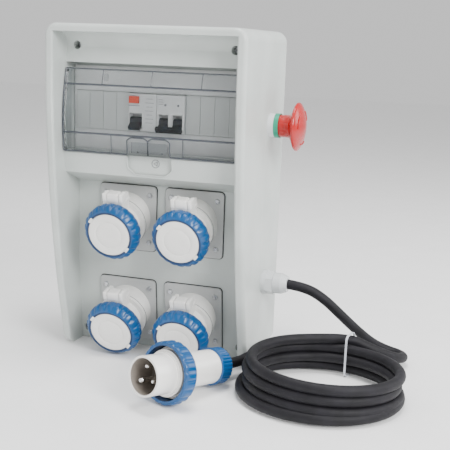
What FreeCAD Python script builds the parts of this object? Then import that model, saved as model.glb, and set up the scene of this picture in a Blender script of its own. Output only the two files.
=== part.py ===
import FreeCAD, Part
import math
import os
import Sketcher

# Portable power distribution box: a two-shell enclosure with a hinged window over a twelve-module
# breaker bay, four inclined sockets with sealing lids, an emergency stop and a plugged supply cable.
# Frame: +X to the right of someone facing the box, +Y to the back, +Z up. The origin is the centre
# of the base. Millimetres and degrees.

V = FreeCAD.Vector
doc = FreeCAD.newDocument("power_box")
sheet = doc.addObject("Spreadsheet::Sheet", "Sizes")

SIZES = [
    ("case_width", 242), ("case_height", 394), ("case_depth", 170), ("rear_depth", 82),
    ("wall", 3), ("corner_radius", 14), ("edge_radius", 5), ("parting_bevel", 1),
    ("rim_radius", 2.5), ("scoop_width", 56), ("scoop_depth", 10.5), ("wing_width", 11),
    ("hood_lip", 9), ("wing_curve_top", 345), ("wing_sweep", 47.9), ("foot_setback", 56),
    ("foot_height", 14), ("foot_radius", 16), ("cove_radius", 17),
    ("cover_setback", 53), ("cover_thickness", 2.5), ("bay_sill", 245.5), ("bay_head", 350.5),
    ("panel_setback", 68), ("panel_break", 105), ("panel_tilt", 6.5), ("panel_top", 206.5),
    ("brow_setback", 32), ("brow_height", 221), ("module_width", 17.5), ("module_height", 45),
    ("module_count", 12), ("bay_middle", 294.8), ("breaker_proud", 6), ("breaker_height", 85),
    ("rail_face", 12), ("rail_height", 35), ("rail_depth", 7.5), ("rail_length", 116),
    ("lid_thickness", 3), ("lid_clearance", 1.5), ("hinge_pin_radius", 2),
    ("socket_spacing", 86), ("upper_row", 165.4), ("lower_row", 48.5), ("upper_tilt", 13.5),
    ("lower_tilt", 18), ("flange_width", 74), ("flange_height", 80), ("flange_thickness", 2.4),
    ("gasket_thickness", 0.6), ("flange_bolt_spacing", 58), ("collar_radius", 30),
    ("collar_length", 18), ("nozzle_radius", 24.4), ("nozzle_length", 47.8), ("bore_radius", 22.6),
    ("carrier_radius", 18.8), ("carrier_length", 38), ("contact_circle", 10.2),
    ("disc_radius", 25.6), ("disc_front", 54), ("skirt_radius", 27.4), ("skirt_depth", 46.3),
    ("ring_front_radius", 29), ("ring_radius", 34.6), ("ring_bore", 27.8), ("ring_back", 37.2),
    ("ring_front", 54.6), ("ridge_count", 24), ("lid_pivot_out", 31.5), ("lid_pivot_up", 39.5),
    ("stop_height", 284.5), ("side_fitting_setback", 64), ("stop_collar_radius", 14.3),
    ("stop_head_radius", 28.5), ("stop_neck_radius", 13.2),
    ("gland_height", 93.5), ("gland_flange_radius", 11.6), ("gland_hex", 26), ("gland_reach", 31),
    ("cable_diameter", 12), ("coil_outer", 95), ("coil_inner", 72), ("coil_height", 49),
    ("coil_x", 222), ("coil_y", -82), ("strap_thickness", 1), ("plug_ring_radius", 34),
    ("plug_sleeve_radius", 21.4), ("plug_sleeve_bore", 19.3), ("plug_reach", 40),
    ("plug_body_radius", 19), ("plug_nut_radius", 21), ("plug_pitch", 8.3), ("plug_swing", 22.8),
]
for row, (name, amount) in enumerate(SIZES, 1):
    sheet.set(f"A{row}", name)
    sheet.set(f"B{row}", str(amount))
    sheet.setAlias(f"B{row}", name)
doc.recompute()


class Size:
    """A size worked out from the sheet: its value now and the expression that keeps it current."""

    def __init__(self, value, text):
        self.value = float(value)
        self.text = text

    def _join(self, other, sign, flip=False):
        other = as_size(other)
        a, b = (other, self) if flip else (self, other)
        value = {
            "+": lambda: a.value + b.value,
            "-": lambda: a.value - b.value,
            "*": lambda: a.value * b.value,
            "/": lambda: a.value / b.value,
        }[sign]()
        return Size(value, f"({a.text} {sign} {b.text})")

    def __add__(self, other):
        return self._join(other, "+")

    def __radd__(self, other):
        return self._join(other, "+", True)

    def __sub__(self, other):
        return self._join(other, "-")

    def __rsub__(self, other):
        return self._join(other, "-", True)

    def __mul__(self, other):
        return self._join(other, "*")

    def __rmul__(self, other):
        return self._join(other, "*", True)

    def __truediv__(self, other):
        return self._join(other, "/")

    def __neg__(self):
        return Size(-self.value, f"(-1 * {self.text})")


def as_size(number):
    return number if isinstance(number, Size) else Size(number, f"({float(number)})")


class Sheet:
    """Reads a cell of the sheet by its alias, as a Size."""

    def __getattr__(self, name):
        return Size(sheet.get(name), f"Sizes.{name}")


S = Sheet()
X, Y, Z = V(1, 0, 0), V(0, 1, 0), V(0, 0, 1)
WORLD = FreeCAD.Placement()
finished = []


def at(x, y, z):
    """A point from plain numbers or Sizes."""
    return V(*(as_size(c).value for c in (x, y, z)))


def turned(axis, degrees):
    return FreeCAD.Rotation(axis, degrees)


def bind(thing, prop, amount):
    """Sets a property now and ties it to the sheet where the amount comes from there."""
    amount = as_size(amount)
    setattr(thing, prop, amount.value)
    if "Sizes." in amount.text:
        thing.setExpression(prop, amount.text)


def keep(label, thing):
    """Names a finished sub-part; the label is its file's name."""
    thing.Label = label
    finished.append(thing)
    return thing


# ---- primitives and booleans ----


def cylinder(radius, length, start, axis=Z, frame=WORLD, angle=None):
    """A round bar from start along axis, both given in frame."""
    thing = doc.addObject("Part::Cylinder", "Cylinder")
    bind(thing, "Radius", radius)
    bind(thing, "Height", length)
    if angle is not None:
        thing.Angle = angle
    thing.Placement = frame * FreeCAD.Placement(start, FreeCAD.Rotation(Z, axis))
    return thing


def cone(radius_start, radius_end, length, start, axis=Z, frame=WORLD):
    thing = doc.addObject("Part::Cone", "Cone")
    bind(thing, "Radius1", radius_start)
    bind(thing, "Radius2", radius_end)
    bind(thing, "Height", length)
    thing.Placement = frame * FreeCAD.Placement(start, FreeCAD.Rotation(Z, axis))
    return thing


def box(size_x, size_y, size_z, corner, frame=WORLD):
    thing = doc.addObject("Part::Box", "Box")
    bind(thing, "Length", size_x)
    bind(thing, "Width", size_y)
    bind(thing, "Height", size_z)
    thing.Placement = frame * FreeCAD.Placement(corner, FreeCAD.Rotation())
    return thing


def hexagon(across_flats, length, start, axis, frame=WORLD):
    thing = doc.addObject("Part::Prism", "Prism")
    thing.Polygon = 6
    bind(thing, "Circumradius", as_size(across_flats) / math.sqrt(3))
    bind(thing, "Height", length)
    thing.Placement = frame * FreeCAD.Placement(start, FreeCAD.Rotation(Z, axis))
    return thing


def fuse(*things):
    if len(things) == 1:
        return things[0]
    joined = doc.addObject("Part::MultiFuse", "Fuse")
    joined.Shapes = list(things)
    return joined


def cut(base, *tools):
    result = doc.addObject("Part::Cut", "Cut")
    result.Base = base
    result.Tool = fuse(*tools)
    return result


def group(*things):
    """Separate solids that share one node."""
    bundle = doc.addObject("Part::Compound", "Group")
    bundle.Links = list(things)
    return bundle


# ---- sketched bodies ----


def new_body(label, placement=WORLD):
    body = doc.addObject("PartDesign::Body", "Body")
    body.Placement = placement
    return keep(label, body)


def sketch_on(body, role, offset=0):
    """A sketch on one of the body's own origin planes, moved along the plane's normal by offset."""
    sketch = body.newObject("Sketcher::SketchObject", "Sketch")
    plane = next(o for o in body.Origin.OriginFeatures if o.Role == role)
    sketch.AttachmentSupport = [(plane, "")]
    sketch.MapMode = "FlatFace"
    lift = FreeCAD.Placement(V(0, 0, as_size(offset).value), FreeCAD.Rotation())
    sketch.AttachmentOffset = lift
    return sketch


def pin_point(sketch, geometry, end, x, y):
    """Ties a point of the sketch to its two coordinates."""
    for kind, axis, amount in (("DistanceX", -2, as_size(x)), ("DistanceY", -1, as_size(y))):
        if abs(amount.value) < 1e-9:
            sketch.addConstraint(Sketcher.Constraint("PointOnObject", geometry, end, axis))
            continue
        number = sketch.addConstraint(
            Sketcher.Constraint(kind, -1, 1, geometry, end, amount.value)
        )
        if "Sizes." in amount.text:
            sketch.setExpression(f"Constraints[{number}]", amount.text)


def arc_middle(start, end, radius, side):
    """The middle point of the arc of that radius; side +1 bulges to the left of start to end."""
    chord = end - start
    half = chord.Length / 2
    normal = V(-chord.y, chord.x, 0).normalize() * side
    return (start + end) / 2 + normal * (radius - math.sqrt(radius**2 - half**2))


def outline(sketch, corners):
    """A closed outline. A corner is (x, y), or (x, y, radius, side) where an arc follows it."""
    points = [V(as_size(c[0]).value, as_size(c[1]).value, 0) for c in corners]
    ends = []
    for i, corner in enumerate(corners):
        start, end = points[i], points[(i + 1) % len(corners)]
        if len(corner) == 2:
            line = sketch.addGeometry(Part.LineSegment(start, end), False)
            ends.append((line, 1, 2))
            continue
        radius = as_size(corner[2])
        middle = arc_middle(start, end, radius.value, corner[3])
        clockwise = (middle - start).cross(end - start).z < 0
        if clockwise:
            arc = sketch.addGeometry(Part.Arc(end, middle, start), False)
            ends.append((arc, 2, 1))
        else:
            arc = sketch.addGeometry(Part.Arc(start, middle, end), False)
            ends.append((arc, 1, 2))
        sketch.addConstraint(Sketcher.Constraint("Radius", arc, radius.value))
    for i, (piece, _, last) in enumerate(ends):
        following, first, _ = ends[(i + 1) % len(ends)]
        sketch.addConstraint(Sketcher.Constraint("Coincident", piece, last, following, first))
    for (piece, first, _), corner in zip(ends, corners):
        pin_point(sketch, piece, first, corner[0], corner[1])


def rectangle(sketch, x, y, width, height):
    """A rectangle about the centre (x, y)."""
    half_w, half_h = as_size(width) / 2, as_size(height) / 2
    x, y = as_size(x), as_size(y)
    outline(sketch, [(x - half_w, y - half_h), (x + half_w, y - half_h),
                     (x + half_w, y + half_h), (x - half_w, y + half_h)])


def circles(sketch, centres, radius):
    radius = as_size(radius)
    for x, y in centres:
        centre = V(as_size(x).value, as_size(y).value, 0)
        ring = sketch.addGeometry(Part.Circle(centre, Z, radius.value), False)
        pin_point(sketch, ring, 3, x, y)
        number = sketch.addConstraint(Sketcher.Constraint("Radius", ring, radius.value))
        if "Sizes." in radius.text:
            sketch.setExpression(f"Constraints[{number}]", radius.text)


def pad(body, sketch, length, symmetric=False, backwards=False):
    feature = body.newObject("PartDesign::Pad", "Pad")
    feature.Profile = sketch
    bind(feature, "Length", length)
    feature.SideType = "Symmetric" if symmetric else "One side"
    feature.Reversed = backwards
    doc.recompute()
    return feature


def pocket(body, sketch, depth, symmetric=False, backwards=False):
    """Cuts the sketch into the body and makes sure that it took something away."""
    before = body.Shape.Volume
    feature = body.newObject("PartDesign::Pocket", "Pocket")
    feature.Profile = sketch
    bind(feature, "Length", depth)
    feature.SideType = "Symmetric" if symmetric else "One side"
    feature.Reversed = backwards
    doc.recompute()
    if body.Shape.Volume > before - 0.5:
        raise RuntimeError(f"a pocket in {body.Label} cut nothing")
    return feature


def round_edges(body, radius, chosen):
    """Fillets the edges of the body so far for which chosen(middle, edge) is true."""
    tip = body.Tip
    names = [f"Edge{n}" for n, e in enumerate(tip.Shape.Edges, 1) if chosen(e.CenterOfMass, e)]
    fillet = body.newObject("PartDesign::Fillet", "Fillet")
    fillet.Base = (tip, names)
    bind(fillet, "Radius", radius)
    body.Tip = fillet
    doc.recompute()
    if not names or not fillet.isValid():
        raise RuntimeError(f"a fillet on {body.Label} failed")
    return fillet


def along_y(middle, edge):
    """Whether an edge is straight and runs front to back."""
    return isinstance(edge.Curve, Part.Line) and abs(edge.tangentAt(edge.FirstParameter).y) > 0.99


# ---- enclosure ----

front_y = -S.case_depth / 2
back_y = S.case_depth / 2
parting_y = S.case_depth / 2 - S.rear_depth
half_width = S.case_width / 2
inner_width = S.case_width - S.wall * 2
panel_y = front_y + S.panel_setback
panel_lean = S.panel_break.value * math.tan(math.radians(S.panel_tilt.value))
panel_foot_y = panel_y + panel_lean
cover_back_y = front_y + S.cover_setback + S.cover_thickness
sill_y = front_y + 27
cove_y = front_y + 36
upper_screw = (97, 370)
lower_screw = (102, 14)
screw_places = [(side * x, z) for x, z in (upper_screw, lower_screw) for side in (-1, 1)]
fitting_y = back_y - S.side_fitting_setback
bolt_x, bolt_z = 95, 165
bolt_places = [(i * bolt_x, S.case_height / 2 + j * bolt_z) for i in (-1, 1) for j in (-1, 1)]


def corners_at(half_span):
    """Chooses the front-to-back edges at the four corners of a rectangle that wide."""

    def chosen(middle, edge):
        near_end = abs(middle.z - S.case_height.value / 2) > S.case_height.value / 2 - 8
        at_side = abs(abs(middle.x) - as_size(half_span).value) < 0.5
        return along_y(middle, edge) and at_side and near_end

    return chosen


def parting_edge(middle, edge):
    """The outer edge of a shell along the parting line."""
    half_height = S.case_height.value / 2
    at_side = abs(middle.x) > half_width.value - 6
    outside = at_side or abs(middle.z - half_height) > half_height - 5.5
    return abs(middle.y - parting_y.value) < 0.1 and outside and not on_inner_wall(middle)


def on_inner_wall(middle):
    """Whether a point of the parting plane lies on the wall's inner face."""
    half_x, half_z = inner_width.value / 2, S.case_height.value / 2 - S.wall.value
    from_x, from_z = abs(middle.x), abs(middle.z - S.case_height.value / 2)
    radius = S.corner_radius.value
    beyond_x, beyond_z = from_x - (half_width.value - radius), from_z - (half_z + 3 - radius)
    if beyond_x > 0 and beyond_z > 0:
        return math.hypot(beyond_x, beyond_z) < radius - S.wall.value * 0.9
    return from_x < half_x + 0.5 and from_z < half_z + 0.5


def rear_shell():
    """The tray that carries the rail, the e-stop and the cable gland."""
    body = new_body("rear_shell")
    sketch = sketch_on(body, "XZ_Plane", -back_y)
    rectangle(sketch, 0, S.case_height / 2, S.case_width, S.case_height)
    pad(body, sketch, S.rear_depth)
    sketch = sketch_on(body, "XZ_Plane", -parting_y)
    rectangle(sketch, 0, S.case_height / 2, inner_width, S.case_height - S.wall * 2)
    pocket(body, sketch, S.rear_depth - S.wall)
    round_edges(body, S.corner_radius - S.wall, corners_at(inner_width / 2))
    round_edges(body, S.corner_radius, corners_at(half_width))
    round_edges(body, S.edge_radius, lambda m, e: m.y > back_y.value - 0.1)
    round_edges(body, S.parting_bevel, parting_edge)
    sketch = sketch_on(body, "XZ_Plane", -(back_y - S.wall))
    circles(sketch, screw_places, 5.5)
    pad(body, sketch, S.rear_depth - S.wall)
    sketch = sketch_on(body, "XZ_Plane", -parting_y)
    circles(sketch, screw_places, 2.1)
    pocket(body, sketch, 70)
    sketch = sketch_on(body, "XZ_Plane", -(back_y - S.wall * 2))
    circles(sketch, bolt_places, 2.75)
    pocket(body, sketch, S.wall * 4)
    sketch = sketch_on(body, "YZ_Plane", half_width + S.wall)
    circles(sketch, [(fitting_y, S.stop_height)], 11.2)
    circles(sketch, [(fitting_y, S.gland_height)], 8.2)
    pocket(body, sketch, S.wall * 3)


def front_shell():
    """The hooded front: side wings that sweep back to the foot, the bay and the socket panel."""
    body = new_body("front_shell")
    sketch = sketch_on(body, "XZ_Plane", -parting_y)
    rectangle(sketch, 0, S.case_height / 2, S.case_width, S.case_height)
    pad(body, sketch, S.case_depth - S.rear_depth)
    ahead = front_y - 10
    lip = S.case_height - S.hood_lip
    w = S.wall
    inside = parting_y + 2
    sketch = sketch_on(body, "YZ_Plane")
    outline(sketch, [
        (inside, S.case_height - w),
        (cove_y + w + 2, S.case_height - w),
        (cove_y + w, lip - S.cove_radius),
        (front_y + 32.5 + w, S.bay_head + w),
        (cover_back_y + w, S.bay_head + w),
        (cover_back_y + w, S.bay_sill - w),
        (sill_y + w + 6, S.bay_sill - w),
        (sill_y + w + 6, S.brow_height + 1),
        (panel_y + w, S.panel_top + 2.5),
        (panel_y + w, S.panel_break + 0.3),
        (panel_foot_y + w - 0.34, w),
        (inside, w),
    ])
    pocket(body, sketch, inner_width, symmetric=True)
    round_edges(body, S.corner_radius - S.wall, corners_at(inner_width / 2))
    round_edges(body, S.corner_radius, corners_at(half_width))
    sketch = sketch_on(body, "YZ_Plane")
    drop = S.wing_curve_top
    sweep = (drop * drop + S.wing_sweep * S.wing_sweep) / (S.wing_sweep * 2)
    outline(sketch, [
        (ahead, S.wing_curve_top),
        (ahead, -10),
        (front_y + S.wing_sweep, -10),
        (front_y + S.wing_sweep, 0, sweep, 1),
        (front_y, S.wing_curve_top),
    ])
    pocket(body, sketch, S.case_width + 20, symmetric=True)

    def front_edge(middle, edge):
        across_wing_top = abs(middle.z - S.wing_curve_top.value) < 1 and abs(middle.x) < 1
        return middle.y < parting_y.value - 30 and not along_y(middle, edge) and not across_wing_top

    round_edges(body, S.edge_radius, front_edge)
    sketch = sketch_on(body, "YZ_Plane")
    outline(sketch, [
        (ahead, S.foot_height),
        (ahead, -10),
        (front_y + S.foot_setback, -10),
        (front_y + S.foot_setback, 0, S.foot_radius, 1),
        (front_y + S.foot_setback - 12, S.foot_height),
    ])
    pocket(body, sketch, S.case_width + 20, symmetric=True)
    sketch = sketch_on(body, "YZ_Plane")
    outline(sketch, [
        (ahead, lip),
        (ahead, -5),
        (panel_foot_y + 0.57, -5),
        (panel_y, S.panel_break),
        (panel_y, S.panel_top),
        (front_y + S.brow_setback, S.brow_height),
        (sill_y, S.bay_sill),
        (cover_back_y, S.bay_sill),
        (cover_back_y, S.bay_head),
        (front_y + 32.5, S.bay_head),
        (cove_y, lip - S.cove_radius, S.cove_radius, -1),
        (cove_y - S.cove_radius, lip),
    ])
    pocket(body, sketch, S.case_width - S.wing_width * 2, symmetric=True)
    inner_face = half_width.value - S.wing_width.value

    def rim_edge(middle, edge):
        """The inner edge of a wing's rim."""
        on_inner_face = abs(abs(middle.x) - inner_face) < 0.1
        on_sweep = abs(edge.BoundBox.ZLength) > 30 and middle.y < front_y.value + 30
        return on_inner_face and on_sweep and not (middle.y > front_y.value + 16 and middle.z > 200)

    round_edges(body, S.rim_radius, rim_edge)
    sketch = sketch_on(body, "XZ_Plane", -(sill_y - 5))
    half_scoop = S.scoop_width / 2
    outline(sketch, [
        (-half_scoop, S.bay_sill + 2), (-half_scoop, S.brow_height + 11),
        (-half_scoop + 9, S.brow_height + 3), (half_scoop - 9, S.brow_height + 3),
        (half_scoop, S.brow_height + 11), (half_scoop, S.bay_sill + 2),
    ])
    pocket(body, sketch, S.scoop_depth)
    sketch = sketch_on(body, "XZ_Plane", -parting_y)
    circles(sketch, screw_places[:2], 7)
    pad(body, sketch, parting_y - cove_y - 2)
    sketch = sketch_on(body, "XZ_Plane", -parting_y)
    circles(sketch, screw_places[2:], 7)
    pad(body, sketch, 9)
    sketch = sketch_on(body, "XZ_Plane", -(cover_back_y - 5))
    rectangle(sketch, 0, (S.bay_sill + S.bay_head) / 2, S.module_width * 12 + 2, 93)
    pocket(body, sketch, 12)
    sketch = sketch_on(body, "XZ_Plane", -(cove_y - 10))
    circles(sketch, screw_places, 2.3)
    pocket(body, sketch, 70)
    sketch = sketch_on(body, "XZ_Plane", -(cove_y - 10))
    circles(sketch, screw_places[:2], 5)
    pocket(body, sketch, 25)
    sketch = sketch_on(body, "XZ_Plane", -(panel_y - 5))
    circles(sketch, screw_places[2:], 5)
    pocket(body, sketch, 21.4)
    sketch = sketch_on(body, "XZ_Plane", -(panel_y - 5))
    circles(sketch, [(i * S.socket_spacing / 2, z) for i in (-1, 1)
                     for z in (S.upper_row - 1, S.lower_row)], 33)
    circles(sketch, [(i * S.socket_spacing / 2 + j * S.flange_bolt_spacing / 2,
                      z + k * S.flange_bolt_spacing / 2) for i in (-1, 1) for j in (-1, 1)
                     for z in (S.upper_row, S.lower_row) for k in (-1, 1)], 3)
    pocket(body, sketch, 30)
    hinge_y, hinge_z = window_pivot
    sketch = sketch_on(body, "YZ_Plane")
    circles(sketch, [(hinge_y, hinge_z)], S.hinge_pin_radius + 0.05)
    pocket(body, sketch, S.case_width - S.wing_width * 2 + 5, symmetric=True)


def shell_gasket():
    """The seal that bridges the parting line on the inside."""
    body = new_body("shell_gasket")
    sketch = sketch_on(body, "XZ_Plane", -(parting_y + 2.5))
    rectangle(sketch, 0, S.case_height / 2, inner_width - 0.4, S.case_height - S.wall * 2 - 0.4)
    pad(body, sketch, 5)
    sketch = sketch_on(body, "XZ_Plane", -(parting_y - 5))
    rectangle(sketch, 0, S.case_height / 2, inner_width - 4.4, S.case_height - S.wall * 2 - 4.4)
    pocket(body, sketch, 10)
    round_edges(body, S.corner_radius - S.wall - 2, corners_at(inner_width / 2 - 2.2))
    round_edges(body, S.corner_radius - S.wall, corners_at(inner_width / 2 - 0.2))


def cover_screws():
    """Four long screws in the wells of the front shell, into the bosses of the rear shell."""
    screws = []
    for x, z in screw_places:
        head_y = cove_y.value + 12 if z > 200 else panel_y.value + 13.4
        head = cylinder(4.4, 3, V(x, head_y, z), Y)
        shank = cylinder(2, 55 if z > 200 else 38, V(x, head_y + 2, z), Y)
        slot = box(6.4, 1.2, 1.2, V(x - 3.2, head_y - 0.2, z - 0.6))
        screws.append(cut(fuse(head, shank), slot))
    keep("cover_screws", group(*screws))


# ---- breaker bay ----

cover_front_y = front_y + S.cover_setback
bay_half = S.module_width * S.module_count / 2


def din_cover():
    body = new_body("din_cover")
    sketch = sketch_on(body, "XZ_Plane", -cover_back_y)
    rectangle(sketch, 0, (S.bay_sill + S.bay_head) / 2, bay_half * 2 + 6, 97)
    pad(body, sketch, S.cover_thickness)
    sketch = sketch_on(body, "XZ_Plane", -(cover_front_y - 2))
    rectangle(sketch, 0, S.bay_middle, bay_half * 2 + 0.4, S.module_height)
    pocket(body, sketch, 8)


def din_rail():
    """A top-hat rail, 35 mm high."""
    body = new_body("din_rail")
    sketch = sketch_on(body, "YZ_Plane")
    face, deep = S.rail_face, S.rail_face + S.rail_depth
    low, high = S.bay_middle - S.rail_height / 2, S.bay_middle + S.rail_height / 2
    outline(sketch, [
        (face, low), (face + 1, low), (face + 1, low + 4), (deep, low + 4), (deep, high - 4),
        (face + 1, high - 4), (face + 1, high), (face, high), (face, high - 5),
        (deep - 1, high - 5), (deep - 1, low + 5), (face, low + 5),
    ])
    pad(body, sketch, S.rail_length, symmetric=True)
    deep_y = S.rail_face + S.rail_depth
    posts = [box(10, back_y - S.wall - deep_y, 25, at(x - 5, deep_y, S.bay_middle - 12.5))
             for x in (-48, 48)]
    keep("rail_brackets", group(*posts))


def blanking_plates():
    """One-module covers over the unused places of the window."""
    plates = []
    for place in (0, 1, 2, 3, 8, 9, 10, 11):
        x = (place - 6) * S.module_width + 0.15
        low = S.bay_middle - S.module_height / 2 + 0.3
        plates.append(box(S.module_width - 0.3, 3.5, S.module_height - 0.6,
                          at(x, cover_front_y - 1.5, low)))
    keep("blanking_plates", group(*plates))


breaker_front_y = cover_front_y - S.breaker_proud
toggle_y = breaker_front_y + 5
toggle_z = 285
TOGGLE_REST = -40
BUTTON = (-28, 309.5, 12, 8)


def breaker(label, middle, toggle_slots, button=None):
    """A two-module device: its full height behind the cover, 45 mm high where it shows."""
    body = new_body(label)
    sketch = sketch_on(body, "YZ_Plane", middle)
    shoulder = cover_back_y + 2.5
    low, high = S.bay_middle - S.breaker_height / 2, S.bay_middle + S.breaker_height / 2
    nose_low = S.bay_middle - S.module_height / 2 + 0.8
    nose_high = S.bay_middle + S.module_height / 2 - 0.8
    outline(sketch, [
        (S.rail_face - 0.2, low), (S.rail_face - 0.2, high), (shoulder, high),
        (shoulder, nose_high), (breaker_front_y, nose_high), (breaker_front_y, nose_low),
        (shoulder, nose_low), (shoulder, low),
    ])
    pad(body, sketch, S.module_width * 2 - 0.4, symmetric=True)
    round_edges(body, 0.8, lambda m, e: m.y < breaker_front_y.value + 0.1)
    for x, width in toggle_slots:
        sketch = sketch_on(body, "XZ_Plane", -(breaker_front_y - 2))
        rectangle(sketch, x, toggle_z, width, 18)
        pocket(body, sketch, 13)
    if button:
        x, z, width, height = button
        sketch = sketch_on(body, "XZ_Plane", -(breaker_front_y - 2))
        rectangle(sketch, x, z, width + 0.6, height + 0.6)
        pocket(body, sketch, 8.5)


def toggle(label, levers, bar=None):
    """Rocking levers about one pivot; a bar ties the levers of a two-pole device together."""
    frame = FreeCAD.Placement(at(0, toggle_y, toggle_z), turned(X, -TOGGLE_REST))
    pieces = []
    for x, width in levers:
        pieces.append(cylinder(4.6, width, V(x - width / 2, 0, 0), X, frame))
        pieces.append(box(width - 1, 14, 4.4, V(x - width / 2 + 0.5, -14, -2.2), frame))
    if bar:
        x, width = bar
        pieces.append(box(width, 4.5, 6, V(x - width / 2, -15, -3), frame))
    keep(label, fuse(*pieces))


def breakers():
    breaker("rccb_body", -S.module_width, [(-26, 16)], BUTTON)
    toggle("rccb_toggle", [(-26, 15)])
    x, z, width, height = BUTTON
    keep("test_button", box(width, 6.5, height,
                            at(x - width / 2, breaker_front_y - 2.5, z - height / 2)))
    breaker("mcb_body", S.module_width, [(8.75, 12), (26.25, 12)])
    toggle("mcb_toggle", [(8.75, 11), (26.25, 11)], bar=(17.5, 32))


# ---- window ----

window_pivot = (front_y + 35, 341)


def window_lid():
    """The clear bowed lid over the bay: a shallow tray hung on two pins in the wings."""
    body = new_body("window_lid")
    width = S.case_width - S.wing_width * 2 - S.lid_clearance * 2
    bow = 222
    sketch = sketch_on(body, "YZ_Plane")
    outline(sketch, [
        (front_y + 39, 247), (front_y + 24, 247, bow, 1), (front_y + 30.5, 344),
        (front_y + 39, 344),
    ])
    pad(body, sketch, width, symmetric=True)
    t = S.lid_thickness
    sketch = sketch_on(body, "YZ_Plane")
    outline(sketch, [
        (front_y + 45, 247 + t), (front_y + 24 + t, 247 + t, bow, 1),
        (front_y + 30.5 + t, 344 - t), (front_y + 45, 344 - t),
    ])
    pocket(body, sketch, width - t * 2, symmetric=True)
    sketch = sketch_on(body, "YZ_Plane")
    circles(sketch, [window_pivot], S.hinge_pin_radius + 0.1)
    pocket(body, sketch, width + 5, symmetric=True)
    pins = [cylinder(S.hinge_pin_radius, 7, at(x, *window_pivot), X) for x in (-112, 105)]
    keep("window_hinge_pins", group(*pins))
    catch_y = front_y + 24 + t + 0.2
    plate = box(44, 2, 12, at(-22, catch_y, 247 + t))
    hook = box(30, 6, 2, at(-15, catch_y, 247 + t))
    keep("window_catch", fuse(plate, hook))


# ---- sockets ----


def lock_ring(label, frame, front, back, radius, front_radius, bore, lip, cams):
    """A knurled bayonet ring about the frame's -Y axis, from back to front."""
    body = new_body(label, frame)
    sketch = sketch_on(body, "YZ_Plane")
    shoulder = front - (radius - front_radius) * 1.25
    outline(sketch, [
        (-back, bore), (-front + 1.4, bore), (-front + 1.4, lip), (-front, lip),
        (-front, front_radius), (-shoulder, radius), (-back - 2, radius), (-back, radius - 1.2),
    ])
    turn = body.newObject("PartDesign::Revolution", "Revolution")
    turn.Profile = sketch
    turn.ReferenceAxis = (sketch, ["H_Axis"])
    turn.Angle = 360
    doc.recompute()
    sketch = sketch_on(body, "XZ_Plane", front + 5)
    groove_radius = 2.4
    circles(sketch, [(0, radius + groove_radius - 1.1)], groove_radius)
    groove = pocket(body, sketch, front - back + 10)
    pattern = body.newObject("PartDesign::PolarPattern", "PolarPattern")
    pattern.Originals = [groove]
    pattern.Axis = (next(o for o in body.Origin.OriginFeatures if o.Role == "Y_Axis"), [""])
    pattern.Angle = 360
    pattern.Occurrences = int(S.ridge_count.value)
    pattern.setExpression("Occurrences", S.ridge_count.text)
    body.Tip = pattern
    doc.recompute()
    if not cams:
        return
    sketch = sketch_on(body, "XZ_Plane", back)
    for side in (-1, 1):
        rectangle(sketch, side * (bore - 0.5), 0, 3.6, 9)
    pad(body, sketch, 2.4)


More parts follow.
